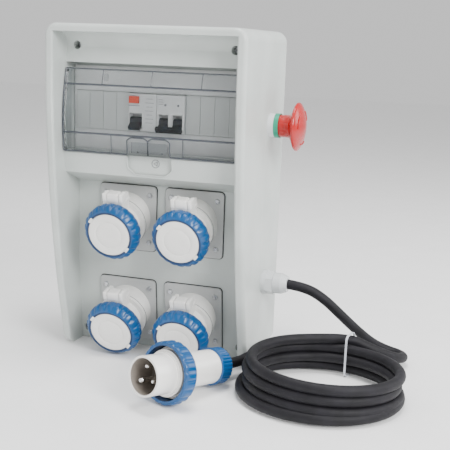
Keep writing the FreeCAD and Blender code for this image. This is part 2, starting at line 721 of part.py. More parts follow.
def socket(place, x, z, tilt, face_y):
    """One inclined socket: collar and nozzle, hinged lid with its seal, and the lid's ring."""
    frame = FreeCAD.Placement(at(x, face_y, z), turned(X, tilt.value))
    out = V(0, -1, 0)
    pivot = at(0, -S.lid_pivot_out, S.lid_pivot_up)
    collar = cylinder(S.collar_radius, S.collar_length + 10, V(0, 10, 0), out, frame)
    nozzle = cylinder(S.nozzle_radius, S.nozzle_length, V(0, 0, 0), out, frame)
    lugs = []
    for degrees in (50, 230):
        lug = cylinder(S.nozzle_radius + 1.8, 3, V(0, -40, 0), out, frame, angle=24)
        spin = FreeCAD.Placement(V(0, 0, 0), turned(out, 90 - degrees - 12))
        lug.Placement = frame * spin * FreeCAD.Placement(V(0, -40, 0), FreeCAD.Rotation(Z, out))
        lugs.append(lug)
    ears = []
    for ear_x in (-12, 8):
        ears.append(box(4, 20, 19, V(ear_x, -36.4, 22.5), frame))
        ears.append(cylinder(4.9, 4, pivot + V(ear_x, 0, 0), X, frame))
    solid = fuse(collar, nozzle, *lugs, *ears)
    bore = cylinder(S.bore_radius, 60, V(0, 0, 0), out, frame)
    chamber = cylinder(S.collar_radius - 3, 30, V(0, 16, 0), out, frame)
    pin_hole = cylinder(1.55, 40, pivot + V(-20, 0, 0), X, frame)
    keep(f"socket_housing_{place}", cut(solid, bore, chamber, pin_hole))

    base = cylinder(S.collar_radius - 3.2, 6, V(0, -7.8, 0), Y, frame)
    front = cylinder(S.carrier_radius, S.carrier_length - 7.8, at(0, -7.8, 0), out, frame)
    rear = cylinder(19, 22, V(0, -2, 0), Y, frame)
    holes, sleeves = [], []
    for degrees in (-90, 30, 150):
        cx = S.contact_circle.value * math.cos(math.radians(degrees))
        cz = S.contact_circle.value * math.sin(math.radians(degrees))
        holes.append(cylinder(3.3, 40, at(cx, -S.carrier_length - 1, cz), Y, frame))
        sleeve = cylinder(3.2, 30, V(cx, -34, cz), Y, frame)
        sleeves.append(cut(sleeve, cylinder(2.5, 24, V(cx, -35, cz), Y, frame)))
    insert = cut(fuse(base, front, rear), *holes)

    disc = cylinder(S.disc_radius, 3.2, at(0, -S.disc_front, 0), Y, frame)
    rim = cylinder(S.skirt_radius, 2, V(0, -52.8, 0), Y, frame)
    skirt = cut(cylinder(S.skirt_radius, 52.8 - S.skirt_depth, V(0, -52.8, 0), Y, frame),
                cylinder(25.4, 20, V(0, -50.8, 0), Y, frame))
    tongue = box(15, 15, 1.2, V(-7.5, -48.2, 25.2), frame)
    arm = box(15, 3.2, 14, V(-7.5, -36.4, 25.2), frame)
    barrel = cylinder(4.4, 15, pivot + V(-7.5, 0, 0), X, frame)
    lid_hole = cylinder(1.6, 40, pivot + V(-20, 0, 0), X, frame)
    keep(f"socket_lid_{place}", cut(fuse(disc, rim, skirt, tongue, arm, barrel), lid_hole))
    seal = cut(cylinder(25.2, 2.6, V(0, -50.8, 0), Y, frame),
               cylinder(20, 10, V(0, -52, 0), Y, frame))
    keep(f"lid_seal_{place}", seal)
    lock_ring(f"lock_ring_{place}", frame, S.ring_front, S.ring_back, S.ring_radius,
              S.ring_front_radius, S.ring_bore, S.disc_radius + 0.5, cams=True)
    pin = cylinder(1.5, 24, pivot + V(-12, 0, 0), X, frame)
    return insert, sleeves, pin


def flange(x, z, tilt, face_y, collar_tilt):
    """A socket's square plate with its gasket and four screws, flat on the panel."""
    frame = FreeCAD.Placement(at(x, face_y, z), turned(X, tilt))
    socket_frame = FreeCAD.Placement(at(x, face_y, z), turned(X, collar_tilt.value))
    half_w, half_h = S.flange_width / 2, S.flange_height / 2
    hole = cylinder(S.collar_radius + 0.2, 60, V(0, 20, 0), V(0, -1, 0), socket_frame)
    spots = [(i * 29, j * 29) for i in (-1, 1) for j in (-1, 1)]
    bores = [cylinder(2.2, 20, V(i, -5, j), Y, frame) for i, j in spots]
    plate = box(S.flange_width, S.flange_thickness, S.flange_height,
                at(-half_w, 0, -half_h), frame)
    gasket = box(S.flange_width - 1, S.gasket_thickness, S.flange_height - 1,
                 at(-half_w + 0.5, S.flange_thickness, -half_h + 0.5), frame)
    screws = []
    for i, j in spots:
        head = cone(3.4, 2.4, 1.8, V(i, 0, j), V(0, -1, 0), frame)
        shank = cylinder(1.9, 8, V(i, 0, j), Y, frame)
        screws.append(cut(fuse(head, shank), box(4.4, 1, 0.9, V(i - 2.2, -2, j - 0.45), frame)))
    return cut(plate, hole, *bores), cut(gasket, hole, *bores), screws


def sockets():
    flange_y = panel_y - S.flange_thickness - S.gasket_thickness
    lean = math.tan(math.radians(S.panel_tilt.value))
    stack = (S.flange_thickness + S.gasket_thickness).value
    slope = math.cos(math.radians(S.panel_tilt.value))
    below_break = S.panel_break.value - S.lower_row.value
    lower_y = panel_y.value + below_break * lean - stack / slope
    rows = {"upper": (S.upper_row, S.upper_tilt, 0, flange_y.value),
            "lower": (S.lower_row, S.lower_tilt, S.panel_tilt.value, lower_y)}
    inserts, sleeves, pins, plates, gaskets, screws = [], [], [], [], [], []
    for row, (z, tilt, panel, face_y) in rows.items():
        for side, name in ((-1, "left"), (1, "right")):
            x = side * S.socket_spacing / 2
            insert, contact, pin = socket(f"{row}_{name}", x, z, tilt, face_y)
            plate, gasket, four = flange(x, z, panel, face_y, tilt)
            inserts.append(insert)
            sleeves.extend(contact)
            pins.append(pin)
            plates.append(plate)
            gaskets.append(gasket)
            screws.extend(four)
    keep("socket_inserts", group(*inserts))
    keep("socket_contacts", group(*sleeves))
    keep("lid_hinge_pins", group(*pins))
    keep("socket_flanges", group(*plates))
    keep("flange_gaskets", group(*gaskets))
    keep("flange_screws", group(*screws))


# ---- emergency stop, on the right-hand side ----


def emergency_stop():
    frame = FreeCAD.Placement(at(half_width, fitting_y, S.stop_height), FreeCAD.Rotation())
    guide = S.stop_neck_radius + 0.3
    flange_part = cylinder(S.stop_collar_radius, 7, V(0, 0, 0), X, frame)
    barrel = cylinder(11, 25, V(-25, 0, 0), X, frame)
    keep("estop_collar", cut(fuse(flange_part, barrel),
                             cylinder(guide, 10, V(1, 0, 0), X, frame),
                             cylinder(5.3, 60, V(-30, 0, 0), X, frame)))
    ring = cylinder(S.stop_collar_radius + 0.2, 5.5, V(7, 0, 0), X, frame)
    keep("estop_status_ring", cut(ring, cylinder(guide, 20, V(0, 0, 0), X, frame)))
    keep("estop_plunger", cylinder(5, 46, V(-20.5, 0, 0), X, frame))
    neck = cylinder(S.stop_neck_radius, 19, V(8, 0, 0), X, frame)
    under = cone(S.stop_neck_radius, S.stop_head_radius, 5, V(26.5, 0, 0), X, frame)
    rim = cylinder(S.stop_head_radius, 3.5, V(31.5, 0, 0), X, frame)
    dome = cone(S.stop_head_radius, 15, 5.5, V(35, 0, 0), X, frame)
    crown = cone(15, 6, 2, V(40.5, 0, 0), X, frame)
    socket_hole = cylinder(5.05, 33.6, V(-8, 0, 0), X, frame)
    keep("estop_head", cut(fuse(neck, under, rim, dome, crown), socket_hole))
    nut = hexagon(27, 5, V(-8.2, 0, 0), X, frame)
    keep("estop_nut", cut(nut, cylinder(11.05, 30, V(-20, 0, 0), X, frame)))
    block = box(26, 30, 30, V(-57.5, -15, -15), frame)
    yoke = box(6, 30, 30, V(-31.5, -15, -15), frame)
    keep("estop_contact_block", cut(fuse(block, yoke), cylinder(6.5, 8, V(-32, 0, 0), X, frame)))


# ---- cable gland, on the right-hand side below the e-stop ----


def cable_gland():
    frame = FreeCAD.Placement(at(half_width, fitting_y, S.gland_height), FreeCAD.Rotation())
    cable = S.cable_diameter / 2
    washer = cylinder(S.gland_flange_radius + 3, 5, V(0, 0, 0), X, frame)
    hexed = hexagon(S.gland_hex, 9, V(5, 0, 0), X, frame)
    spigot = cylinder(9, 11, V(14, 0, 0), X, frame)
    thread = cylinder(8, 12, V(-12, 0, 0), X, frame)
    keep("gland_body", cut(fuse(washer, hexed, spigot, thread),
                           cylinder(cable + 0.4, 60, V(-20, 0, 0), X, frame),
                           cylinder(7.6, 30, V(15, 0, 0), X, frame)))
    seal = cylinder(7.5, 11, V(15.2, 0, 0), X, frame)
    keep("gland_seal", cut(seal, cylinder(cable + 0.05, 30, V(10, 0, 0), X, frame)))
    body = fuse(cylinder(12.6, 9, V(14.2, 0, 0), X, frame),
                cone(12.6, 9.6, S.gland_reach - 23.2, V(23.2, 0, 0), X, frame))
    keep("gland_nut", cut(body, cylinder(9.1, 12.2, V(14, 0, 0), X, frame),
                          cylinder(cable + 0.1, 60, V(0, 0, 0), X, frame)))
    nut = hexagon(22, 5, V(-8.2, 0, 0), X, frame)
    keep("gland_locknut", cut(nut, cylinder(8.05, 30, V(-20, 0, 0), X, frame)))


# ---- supply cable ----


def smooth_path(points):
    """Straight runs joined by tangent arcs as large as the runs allow, and the arcs' radii."""
    edges, radii = [], []
    start = points[0]
    for before, corner, after in zip(points, points[1:], points[2:]):
        back, ahead = before - corner, after - corner
        reach = 0.45 * min(back.Length, ahead.Length)
        half_turn = (math.pi - back.getAngle(ahead)) / 2
        radius = reach / math.tan(half_turn)
        back.normalize()
        ahead.normalize()
        enter, leave = corner + back * reach, corner + ahead * reach
        inward = (back + ahead).normalize()
        middle = corner + inward * (radius / math.cos(half_turn) - radius)
        edges.append(Part.LineSegment(start, enter).toShape())
        edges.append(Part.Arc(enter, middle, leave).toShape())
        radii.append(radius)
        start = leave
    edges.append(Part.LineSegment(start, points[-1]).toShape())
    return Part.Wire(edges), radii


def tube(label, points, radius):
    """A round cord along the points; its volume is checked against section times length."""
    wire, radii = smooth_path([V(*p) for p in points])
    first = wire.Edges[0]
    ring = Part.Circle(V(*points[0]), first.tangentAt(first.FirstParameter), radius)
    solid = wire.makePipeShell([Part.Wire([ring.toShape()])], True, False)
    share = solid.Volume / (math.pi * radius**2 * wire.Length)
    print(f"{label}: length {wire.Length:.0f}, radii {[round(r) for r in radii]}, fill {share:.3f}")
    return solid


def shape_feature(label, shape):
    feature = doc.addObject("Part::Feature", "Feature")
    feature.Shape = shape
    return keep(label, feature)


# Down from the gland, a low turn on the floor behind the coil, and up onto the coil's top turn.
DROP = [
    (152, 21, 93.5), (174, 22, 92), (196, 28, 79), (215, 38, 59), (233, 50, 39), (252, 63, 20),
    (270, 73, 10), (286, 70, 8), (294, 53, 10), (289, 33, 15), (274, 17, 23), (254, 8, 33),
    (234, 4, 41),
]
# From the coil's far side round to the back of the plug.
TAIL = [(150, -14, 31), (139, -34, 27), (127.5, -51, 21), (116.5, -68.3, 17.8), (108.8, -86.5, 20.7)]


def supply_cable():
    radius = S.cable_diameter.value / 2
    shape_feature("supply_cable_drop", tube("supply_cable_drop", DROP, radius))
    shape_feature("supply_cable_tail", tube("supply_cable_tail", TAIL, radius))
    t = S.strap_thickness
    low = at(S.coil_x, S.coil_y, t)
    outer = cylinder(S.coil_outer, S.coil_height - t, low)
    inner = cylinder(S.coil_inner, 60, low - V(0, 0, 5))
    keep("supply_cable_coil", cut(outer, inner))
    frame = FreeCAD.Placement(at(S.coil_x, S.coil_y, 0), turned(Z, -11))
    span = S.coil_outer - S.coil_inner
    strap = cut(box(4.5, span + t * 2 + 1, S.coil_height + t, at(-2.25, S.coil_inner - t - 0.5, 0),
                    frame),
                box(10, span + 1, S.coil_height - t, at(-5, S.coil_inner - 0.5, t), frame))
    keep("cable_tie", strap)


# ---- supply plug, lying on the floor ----


def supply_plug():
    ring_height = S.plug_ring_radius.value * math.cos(math.radians(S.plug_pitch.value))
    spin = turned(Z, -S.plug_swing.value).multiply(turned(X, -S.plug_pitch.value))
    frame = FreeCAD.Placement(V(75, -167, ring_height + 0.05), spin)
    out = V(0, -1, 0)
    sleeve = cylinder(S.plug_sleeve_radius, S.plug_reach - 2, V(0, -2, 0), out, frame)
    step = cylinder(25, 6, V(0, -2, 0), out, frame)
    rim = cylinder(23, 9, V(0, -2, 0), out, frame)
    keep("plug_sleeve", cut(fuse(sleeve, step, rim),
                            cylinder(S.plug_sleeve_bore, 60, V(0, -1, 0), out, frame)))
    spots = [(math.radians(a), 2.9 if a == 220 else 2.4) for a in (100, 220, 340)]
    pins, holes = [], []
    for angle, radius in spots:
        start = V(S.contact_circle.value * math.cos(angle), 8,
                  S.contact_circle.value * math.sin(angle))
        pins.append(fuse(cylinder(radius, 42, start, out, frame),
                         cone(radius, radius - 1, 1.5, start + V(0, -42, 0), out, frame)))
        holes.append(cylinder(radius + 0.05, 60, start, out, frame))
    disc = cylinder(S.plug_sleeve_bore - 0.1, 13, V(0, 5, 0), out, frame)
    keep("plug_insert", cut(disc, *holes))
    keep("plug_pins", group(*pins))
    turned_about = frame * FreeCAD.Placement(V(0, 0, 0), turned(Z, 180))
    lock_ring("plug_ring", turned_about, as_size(8), as_size(-10), S.plug_ring_radius,
              S.plug_ring_radius - 3, as_size(29), as_size(26.4), cams=False)
    head = fuse(cylinder(26, 11, V(0, 9, 0), out, frame),
                cylinder(28, 4, V(0, 6.3, 0), out, frame),
                cylinder(28, 2, V(0, 10.2, 0), out, frame))
    barrel = cylinder(S.plug_body_radius, 60, V(0, 62, 0), out, frame)
    tail = cylinder(16, 12, V(0, 73, 0), out, frame)
    keep("plug_body", cut(fuse(head, barrel, tail),
                          cylinder(S.plug_sleeve_bore + 0.1, 8, V(0, 5.2, 0), out, frame),
                          cylinder(14, 54, V(0, 58, 0), out, frame),
                          cylinder(6.2, 60, V(0, 90, 0), out, frame)))
    nut = fuse(cylinder(S.plug_nut_radius, 16, V(0, 78.2, 0), out, frame),
               cone(S.plug_nut_radius, 13, 10, V(0, 78.2, 0), Y, frame))
    keep("plug_gland_nut", cut(nut, cylinder(16.1, 12, V(0, 73.2, 0), out, frame),
                               cylinder(6.1, 60, V(0, 110, 0), out, frame)))


# ---- inside ----


def wiring():
    """The terminal block and the three cores that come in through the gland."""
    floor_y = back_y - S.wall
    block = box(80, 14, 16, at(-40, floor_y - 14, 214))
    holes = [cylinder(2, 9, at(-33.5 + 9.6 * i, floor_y - 14.5, 222), Y) for i in range(8)]
    keep("terminal_block", cut(block, *holes))
    cores = []
    for i in range(3):
        spread = 9.6 * i
        path = [(108, 21 + 4 * (i - 1), 93.5), (88, 26 + 5 * (i - 1), 97),
                (66 + 3 * i, 42 + 4 * (i - 1), 118), (50 + 3 * i, 60, 150),
                (24 + spread, 70, 182), (4 + spread, 73, 212.6)]
        cores.append(tube(f"core_{i}", path, 1.9))
    shape_feature("internal_wiring", Part.makeCompound(cores))


rear_shell()
front_shell()
shell_gasket()
cover_screws()
din_cover()
din_rail()
blanking_plates()
breakers()
window_lid()
sockets()
emergency_stop()
cable_gland()
supply_cable()
supply_plug()
wiring()
doc.recompute()

broken = [o.Name for o in doc.Objects if set(o.State) & {"Invalid", "Error"}]
broken += [o.Label for o in finished if o.Shape.isNull() or not o.Shape.isValid()]
if broken:
    raise RuntimeError(f"failed: {broken}")
os.makedirs("parts", exist_ok=True)
for thing in finished:
    print(thing.Label, len(thing.Shape.Solids), round(thing.Shape.Volume / 1000, 1))
    thing.Shape.exportStep(f"parts/{thing.Label}.step")
print(len(finished), "nodes")
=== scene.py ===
"""A portable power distribution box with its supply cable coiled on the floor, in metres."""
import math

import bmesh
import bpy
from mathutils import Matrix, Vector


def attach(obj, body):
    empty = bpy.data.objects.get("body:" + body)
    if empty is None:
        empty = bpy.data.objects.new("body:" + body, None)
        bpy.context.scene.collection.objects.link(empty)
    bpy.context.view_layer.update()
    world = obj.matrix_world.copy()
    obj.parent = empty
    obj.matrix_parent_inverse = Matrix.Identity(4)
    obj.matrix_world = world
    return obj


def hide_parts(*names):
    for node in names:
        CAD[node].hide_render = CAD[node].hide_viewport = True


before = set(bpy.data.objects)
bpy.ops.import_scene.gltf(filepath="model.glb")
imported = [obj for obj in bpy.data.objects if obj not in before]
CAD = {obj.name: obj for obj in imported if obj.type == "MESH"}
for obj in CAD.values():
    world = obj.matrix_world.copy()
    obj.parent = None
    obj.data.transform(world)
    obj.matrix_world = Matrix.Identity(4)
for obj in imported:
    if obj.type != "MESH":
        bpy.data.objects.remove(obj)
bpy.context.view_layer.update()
MM = 0.001

# ---- camera ----

CAMERA_PLACE = (0.4033, -1.0077, 0.3732)
CAMERA_YAW, CAMERA_PITCH, CAMERA_ROLL = 18.0, 11.2, 2.04
LENS = 71.8


def camera():
    """Stands to the right of the box and looks slightly down at it."""
    yaw, pitch, roll = (math.radians(a) for a in (CAMERA_YAW, CAMERA_PITCH, CAMERA_ROLL))
    ahead = Vector((-math.sin(yaw) * math.cos(pitch), math.cos(yaw) * math.cos(pitch),
                    -math.sin(pitch)))
    level = Vector((math.cos(yaw), math.sin(yaw), 0))
    above = level.cross(ahead)
    right = level * math.cos(roll) + above * math.sin(roll)
    up = above * math.cos(roll) - level * math.sin(roll)
    data = bpy.data.cameras.new("camera")
    data.lens = LENS
    data.clip_start = 0.05
    shot = bpy.data.objects.new("camera", data)
    shot.matrix_world = Matrix.Translation(CAMERA_PLACE) @ Matrix(
        (right, up, -ahead)).transposed().to_4x4()
    bpy.context.scene.collection.objects.link(shot)
    bpy.context.scene.camera = shot


camera()


# ---- materials ----


class Shader:
    """A material under construction: its nodes and the few patterns that the surfaces share."""

    def __init__(self, name):
        self.material = bpy.data.materials.new(name)
        self.material.use_nodes = True
        self.nodes = self.material.node_tree.nodes
        self.links = self.material.node_tree.links
        self.surface = self.nodes["Principled BSDF"]
        self.place = self.nodes.new("ShaderNodeTexCoord").outputs["Object"]

    def set(self, **sockets):
        for name, amount in sockets.items():
            self.surface.inputs[name.replace("_", " ").title().replace("Ior", "IOR")
                                ].default_value = amount
        return self

    def noise(self, scale, detail=3.0, stretch=(1, 1, 1)):
        mapping = self.nodes.new("ShaderNodeMapping")
        mapping.inputs["Scale"].default_value = stretch
        texture = self.nodes.new("ShaderNodeTexNoise")
        texture.inputs["Scale"].default_value = scale
        texture.inputs["Detail"].default_value = detail
        self.links.new(self.place, mapping.inputs["Vector"])
        self.links.new(mapping.outputs["Vector"], texture.inputs["Vector"])
        return texture.outputs["Fac"]

    def ramp(self, value, low, high, start=0.35, end=0.65):
        node = self.nodes.new("ShaderNodeValToRGB")
        node.color_ramp.elements[0].position = start
        node.color_ramp.elements[1].position = end
        node.color_ramp.elements[0].color = (*low, 1)
        node.color_ramp.elements[1].color = (*high, 1)
        self.links.new(value, node.inputs["Fac"])
        return node.outputs["Color"]

    def colour(self, source):
        self.links.new(source, self.surface.inputs["Base Color"])
        return self

    def rough(self, value, low, high):
        node = self.nodes.new("ShaderNodeMapRange")
        node.inputs["To Min"].default_value = low
        node.inputs["To Max"].default_value = high
        self.links.new(value, node.inputs["Value"])
        self.links.new(node.outputs["Result"], self.surface.inputs["Roughness"])
        return self

    def bump(self, value, depth, strength=1.0):
        node = self.nodes.new("ShaderNodeBump")
        node.inputs["Distance"].default_value = depth
        node.inputs["Strength"].default_value = strength
        self.links.new(value, node.inputs["Height"])
        self.links.new(node.outputs["Normal"], self.surface.inputs["Normal"])
        return self


def shade(colour, factor):
    return tuple(min(1.0, c * factor) for c in colour)


def plastic(name, colour, rough=0.35, grain=0.00004, grain_scale=2600, vary=0.05, coat=0.0):
    """Moulded plastic: faint mottling, an even spark-eroded grain, and a roughness that wanders."""
    shader = Shader(name)
    shader.colour(shader.ramp(shader.noise(18), shade(colour, 1 - vary), shade(colour, 1 + vary)))
    shader.rough(shader.noise(45, 4), rough * 0.85, rough * 1.2)
    shader.bump(shader.noise(grain_scale, 2), grain, 0.6)
    shader.set(ior=1.49, coat_weight=coat, coat_roughness=0.12)
    return shader.material


def metal(name, colour, rough=0.28, stretch=(1, 1, 1)):
    shader = Shader(name)
    shader.colour(shader.ramp(shader.noise(160, 4, stretch), shade(colour, 0.86), colour))
    shader.rough(shader.noise(320, 4, stretch), rough * 0.7, rough * 1.3)
    shader.bump(shader.noise(1500, 2, stretch), 0.00002, 0.5)
    shader.set(metallic=1.0)
    return shader.material


def rubber(name, colour, rough=0.62):
    """Cable sheath or seal: dusty highlights over a fine tooth."""
    shader = Shader(name)
    shader.colour(shader.ramp(shader.noise(60, 5), shade(colour, 0.75), shade(colour, 1.45)))
    shader.rough(shader.noise(130, 4), rough * 0.8, rough * 1.15)
    shader.bump(shader.noise(900, 5), 0.00025, 0.5)
    shader.set(sheen_weight=0.01, ior=1.36)
    return shader.material


def smoke(name, tint, rough=0.04):
    """Clear polycarbonate, faintly smoked, with the slight waviness of a moulding."""
    shader = Shader(name)
    shader.colour(shader.ramp(shader.noise(9, 2), shade(tint, 0.96), tint))
    shader.rough(shader.noise(30, 3), rough * 0.6, rough * 1.6)
    shader.bump(shader.noise(22, 1), 0.0004, 0.15)
    shader.set(transmission_weight=1.0, ior=1.3)
    return shader.material


SHELL = plastic("shell_grey", (0.52, 0.555, 0.535), 0.34)
FLANGE = plastic("flange_grey", (0.45, 0.46, 0.455), 0.4)
BLUE = plastic("socket_blue", (0.0, 0.07, 0.225), 0.3, vary=0.12, coat=0.12)
# Painted shade: a darker copy of the socket blue for the shaded inside of the grip rings.
BLUE_PAINTED_SHADE = plastic("socket_blue_shadow", (0.0, 0.024, 0.09), 0.35, vary=0.12)
WHITE = plastic("lid_white", (0.86, 0.85, 0.82), 0.24, coat=0.3)
DEVICE = plastic("device_white", (0.66, 0.67, 0.66), 0.42)
BLANK = plastic("blanking_grey", (0.55, 0.57, 0.55), 0.45)
LEVER = plastic("lever_black", (0.003, 0.007, 0.013), 0.22, coat=0.35)
BUTTON = plastic("button_orange", (0.70, 0.06, 0.02), 0.32, coat=0.2)
RED = plastic("stop_red", (0.40, 0.0, 0.001), 0.26, vary=0.08, coat=0.2)
GREEN = plastic("status_green", (0.0, 0.27, 0.16), 0.28, coat=0.1)
COLLAR = plastic("collar_grey", (0.64, 0.66, 0.67), 0.2, coat=0.3)
# Painted shade: a dark brown for the shaded inside of the plug sleeve, used on the insert and on a
# sheet lining the sleeve wall.
SLEEVE_PAINTED_SHADE = plastic("sleeve_shade_brown", (0.25, 0.22, 0.19), 0.45)
TERMINAL = plastic("terminal_grey", (0.3, 0.3, 0.31), 0.5)
TIE = plastic("tie_grey", (0.58, 0.60, 0.65), 0.35)
MARK = plastic("mark_grey", (0.16, 0.17, 0.18), 0.5)
CABLE = rubber("cable_black", (0.0065, 0.006, 0.0085))
SEAL = rubber("seal_rubber", (0.01, 0.01, 0.01), 0.7)
ZINC = metal("zinc_steel", (0.62, 0.63, 0.65))
NICKEL = metal("nickel", (0.78, 0.77, 0.74), 0.18)
BRASS = metal("brass", (0.72, 0.52, 0.24))
SMOKE = smoke("smoke_window", (0.885, 0.90, 0.912))
SMOKE_EDGE = plastic("smoke_edge", (0.045, 0.052, 0.066), 0.15, coat=0.5)

FINISHES = {
    SHELL: ["rear_shell", "front_shell"],
    BLANK: ["blanking_plates"],
    DEVICE: ["din_cover", "rccb_body", "mcb_body"],
    LEVER: ["rccb_toggle", "mcb_toggle"],
    BUTTON: ["test_button"],
    SEAL: ["shell_gasket", "gland_seal"],
    ZINC: ["cover_screws", "din_rail", "flange_screws", "window_hinge_pins", "lid_hinge_pins"],
    TERMINAL: ["rail_brackets", "terminal_block", "estop_nut", "estop_contact_block",
               "estop_plunger", "gland_locknut"],
    CABLE: ["internal_wiring"],
    BRASS: ["socket_contacts"],
    SMOKE: ["window_lid", "window_catch"],
    BLUE: ["socket_inserts"],
    COLLAR: ["estop_collar", "gland_body", "gland_nut"],
    GREEN: ["estop_status_ring"],
    WHITE: ["plug_sleeve", "plug_body"],
    NICKEL: ["plug_pins"],
}


def paint(node, material):
    piece = CAD[node]
    if not piece.material_slots:
        piece.data.materials.append(material)
    for place in piece.material_slots:
        place.material = material


for material, nodes in FINISHES.items():
    for node in nodes:
        paint(node, material)
for node in CAD:
    if node.startswith(("socket_housing", "socket_lid")):
        paint(node, WHITE)
    if node.startswith("lid_seal"):
        paint(node, SEAL)
# The plug insert takes the dark brown painted shade of the sleeve's inside.
paint("plug_insert", SLEEVE_PAINTED_SHADE)


# ---- building pieces ----


def add(name, mesh, material, body, smooth=None, place=None):
    """Puts a mesh into the scene on a CAD body, with its finish."""
    mesh.materials.append(material)
    if smooth is not None:
        mesh.shade_smooth()
        mesh.set_sharp_from_angle(angle=math.radians(smooth))
    piece = bpy.data.objects.new(name, mesh)
    if place is not None:
        mesh.transform(place)
    bpy.context.scene.collection.objects.link(piece)
    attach(piece, body)
    return piece


def lathe(name, profile, around=96, wave=None):
    """A turned mesh about the local -Y axis. profile holds (depth, radius) pairs in millimetres;
    wave(angle, index) may add to a ring's radius."""
    mesh = bpy.data.meshes.new(name)
    points, faces = [], []
    for index, (depth, radius) in enumerate(profile):
        for k in range(around):
            angle = 2 * math.pi * k / around
            r = radius + (wave(angle, index) if wave else 0)
            points.append((r * math.cos(angle) * MM, -depth * MM, r * math.sin(angle) * MM))
    for row in range(len(profile) - 1):
        for k in range(around):
            a, b = row * around + k, row * around + (k + 1) % around
            faces.append((a, b, b + around, a + around))
    for row, flip in ((0, True), (len(profile) - 1, False)):
        if profile[row][1] > 0.01 and profile[0] != profile[-1]:
            loop = [row * around + k for k in range(around)]
            faces.append(loop[::-1] if flip else loop)
    mesh.from_pydata(points, [], faces)
    tidy(mesh)
    return mesh


def tidy(mesh):
    """Welds doubled points and turns every face outwards."""
    work = bmesh.new()
    work.from_mesh(mesh)
    bmesh.ops.remove_doubles(work, verts=work.verts, dist=1e-6)
    bmesh.ops.recalc_face_normals(work, faces=work.faces)
    work.to_mesh(mesh)
    work.free()


def slab(name, width, height, thick, corner, bevel=0.5, segments=6):
    """A plate with rounded corners in the local XZ plane, from y 0 towards -Y, in millimetres."""
    work = bmesh.new()
    loop = []
    for turn, (sx, sz) in enumerate(((1, 1), (-1, 1), (-1, -1), (1, -1))):
        for k in range(segments + 1):
            angle = math.radians(90 * (turn + k / segments))
            x = sx * (width / 2 - corner) + corner * math.cos(angle)
            z = sz * (height / 2 - corner) + corner * math.sin(angle)
            loop.append(work.verts.new((x * MM, 0, z * MM)))
    face = work.faces.new(loop)
    grown = bmesh.ops.extrude_face_region(work, geom=[face])
    moved = [v for v in grown["geom"] if isinstance(v, bmesh.types.BMVert)]
    bmesh.ops.translate(work, verts=moved, vec=(0, -thick * MM, 0))
    front = [e for e in work.edges if all(v.co.y < -thick * MM + 1e-7 for v in e.verts)]
    if bevel:
        bmesh.ops.bevel(work, geom=front, offset=bevel * MM, segments=3, affect="EDGES",
                        profile=0.5)
    bmesh.ops.recalc_face_normals(work, faces=work.faces)
    mesh = bpy.data.meshes.new(name)
    work.to_mesh(mesh)
    work.free()
    return mesh


def wire(name, points, radius, material, body, cyclic=False, place=None, flat=False):
    """A thin round strip along points given in millimetres."""
    data = bpy.data.curves.new(name, "CURVE")
    data.dimensions = "3D"
    data.bevel_depth = radius * MM
    data.bevel_resolution = 3
    data.use_fill_caps = True
    line = data.splines.new("POLY")
    line.points.add(len(points) - 1)
    for spot, point in zip(line.points, points):
        spot.co = (*(Vector(point) * MM), 1)
    line.use_cyclic_u = cyclic
    curve = bpy.data.objects.new(name, data)
    bpy.context.scene.collection.objects.link(curve)
    mesh = bpy.data.meshes.new_from_object(curve)
    bpy.data.objects.remove(curve)
    return add(name, mesh, material, body, smooth=50, place=place)


def tilted(x, y, z, degrees):
    """A frame whose -Y axis leans down by that much, at a point in millimetres."""
    return Matrix.Translation(Vector((x, y, z)) * MM) @ Matrix.Rotation(
        math.radians(degrees), 4, "X")


def softened(node, width=0.5):
    """Rounds the sharp edges of a CAD part a little."""
    bevel = CAD[node].modifiers.new("edges", "BEVEL")
    bevel.width = width * MM
    bevel.segments = 2
    bevel.limit_method = "ANGLE"
    bevel.angle_limit = math.radians(50)


# ---- supply cable ----

CABLE_DIAMETER = 12
COIL_X, COIL_Y = 222, -82

DROP = [
    (152, 21, 93.5), (174, 22, 92), (196, 28, 79), (215, 38, 59), (233, 50, 39), (252, 63, 20),
    (270, 73, 10), (286, 70, 8), (294, 53, 10), (289, 33, 15), (274, 17, 23), (254, 8, 33),
    (234, 4, 41),
]
TAIL = [(150, -14, 31), (139, -34, 27), (127.5, -51, 21), (116.5, -68.3, 17.8), (108.8, -86.5, 20.7)]
LEAVING = [(190, 3, 9), (170, -3, 19)]
# Each turn of the coil: radius, shift left, shift forward, height at its start.
TURNS = [(80, 0, 2, 41), (86, 0, 2, 30), (82, 1, 2, 19), (89, 3, 3, 7.5)]
STEPS = 16
COIL_START = 96
COIL_SQUASH, COIL_TILT = 0.94, 2.4
TIE_INNER, TIE_OUTER, TIE_TOP, TIE_CORNER = 64.5, 90, 50.5, 7
TIE_TURN, TIE_THICKNESS, TIE_HALF_WIDTH = -11, 0.9, 1.2


def coil_points():
    """Loose turns from the top down, counter-clockwise seen from above, starting at the back."""
    points = []
    for number, (radius, left, front, height) in enumerate(TURNS):
        after = TURNS[min(number + 1, len(TURNS) - 1)]
        count = STEPS if number < len(TURNS) - 1 else STEPS + 1
        for k in range(count):
            share = k / STEPS
            ease = share * share * (3 - 2 * share)
            angle = math.radians(COIL_START) + 2 * math.pi * share
            r, dx, dy, z = (a + (b - a) * ease for a, b in zip((radius, left, front, height), after))
            lift = COIL_TILT * (1 - math.sin(angle)) / 2 * (z / height if height > 10 else 0)
            points.append((COIL_X - dx + r * math.cos(angle),
                           COIL_Y - dy + r * COIL_SQUASH * math.sin(angle), z + lift))
    return points


